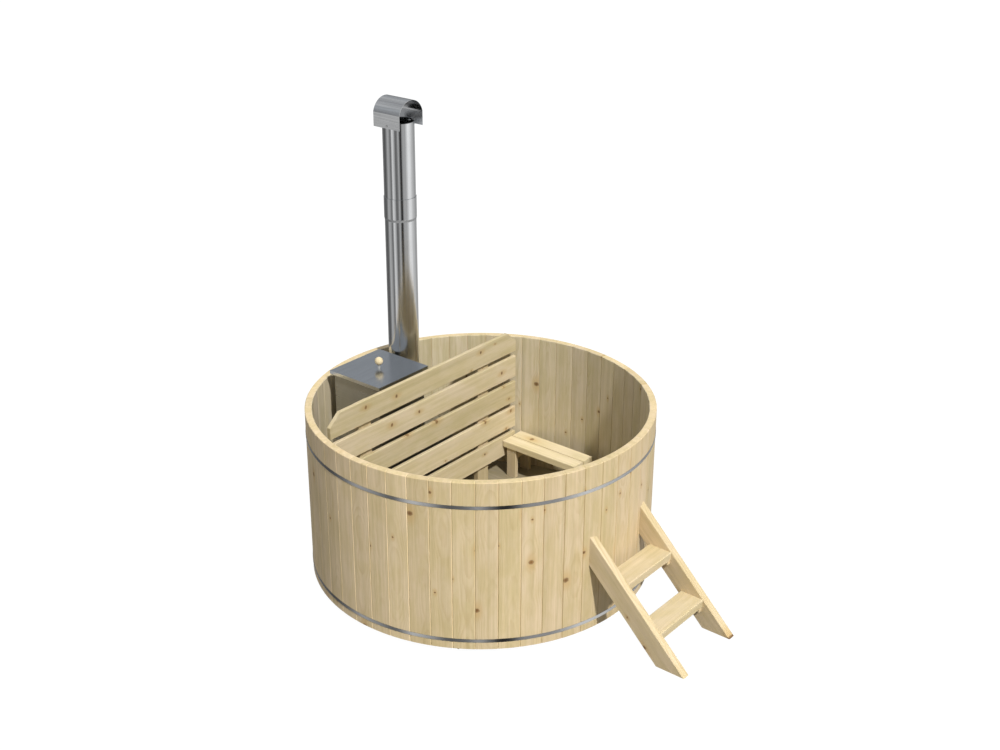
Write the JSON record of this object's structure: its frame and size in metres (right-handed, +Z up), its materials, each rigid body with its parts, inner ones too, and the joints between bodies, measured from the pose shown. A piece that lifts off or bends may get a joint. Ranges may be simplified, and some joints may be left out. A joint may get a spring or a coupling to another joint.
{
  "type": "wooden hot tub",
  "caption": "Round wooden hot tub of upright staves bound by steel hoops, with an inside wood stove and flue, a board guard, a bench and leaning steps.",
  "frame": {"origin": "on the ground, at the axis of the round tub", "axes": "+Z up along the tub axis, +X from the stove towards the steps, +Y towards the bench side"},
  "size_m": [2.4676, 1.9035, 2.512],
  "materials": {
    "wall_pine": "satin",
    "floor_pine": "satin",
    "guard_pine": "satin",
    "bench_pine": "satin",
    "step_pine": "satin",
    "dark_wood": "matte",
    "knob_wood": "satin",
    "hoop_steel": "satin",
    "flue_steel": "satin",
    "lid_steel": "satin",
    "stove_steel": "satin",
    "screw_steel": "satin",
    "cast_iron": "matte",
    "brass": "satin",
    "red_lever": "satin",
    "rubber": "matte"
  },
  "bodies": {
    "tub": {"staves": "wall_pine", "drain_stave": "wall_pine", "floor_boards": "floor_pine", "bearer_center": "dark_wood", "bearer_stove": "dark_wood", "bearer_steps": "dark_wood", "hoop_upper": "hoop_steel", "hoop_lower": "hoop_steel", "hoop_bolts": "screw_steel", "hoop_nuts": "screw_steel", "guard_board_1": "guard_pine", "guard_board_2": "guard_pine", "guard_board_3": "guard_pine", "guard_board_4": "guard_pine", "guard_board_5": "guard_pine", "guard_batten_near": "guard_pine", "guard_batten_far": "guard_pine", "guard_screws": "screw_steel", "foot_brackets": "screw_steel", "foot_screws": "screw_steel", "seat_board_front": "bench_pine", "seat_board_wall": "bench_pine", "bench_leg_1": "bench_pine", "bench_leg_2": "bench_pine", "bench_leg_3": "bench_pine", "bench_leg_4": "bench_pine", "bench_rail_1": "bench_pine", "bench_rail_2": "bench_pine", "bench_screws": "screw_steel", "stove_body": "stove_steel", "stove_runners": "stove_steel", "stove_screws": "screw_steel", "stove_grate": "cast_iron", "ash_pan": "stove_steel", "flue_lower": "flue_steel", "flue_upper": "flue_steel", "flue_hood": "flue_steel", "hood_bushes": "screw_steel", "hood_screws": "screw_steel", "hood_nuts": "screw_steel", "drain_fitting": "screw_steel", "drain_gasket": "rubber", "drain_nut": "screw_steel", "valve_body": "brass", "valve_cap": "brass"},
    "lid": {"stove_lid": "lid_steel", "lid_knob": "knob_wood", "knob_neck": "screw_steel", "knob_bolt": "screw_steel"},
    "valve_handle": {"valve_ball": "screw_steel", "valve_lever": "red_lever", "valve_nut": "screw_steel"},
    "steps": {"stringer_near": "step_pine", "stringer_far": "step_pine", "tread_upper": "step_pine", "tread_lower": "step_pine", "tread_cleats": "step_pine", "step_screws": "screw_steel"}
  },
  "joints": [
    {"name": "lid_lift", "type": "slide", "parent": "tub", "child": "lid", "axis": [0, 0, 1], "range_m": [0, 0.35]},
    {"name": "valve_turn", "type": "hinge", "parent": "tub", "child": "valve_handle", "pos_m": [-0.66876, 0.75487, 0.192], "axis": [0, 0, -1], "range_deg": [0, 90]},
    {"name": "steps_away", "type": "slide", "parent": "tub", "child": "steps", "axis": [1, 0, 0], "range_m": [0, 0.4]}
  ]
}
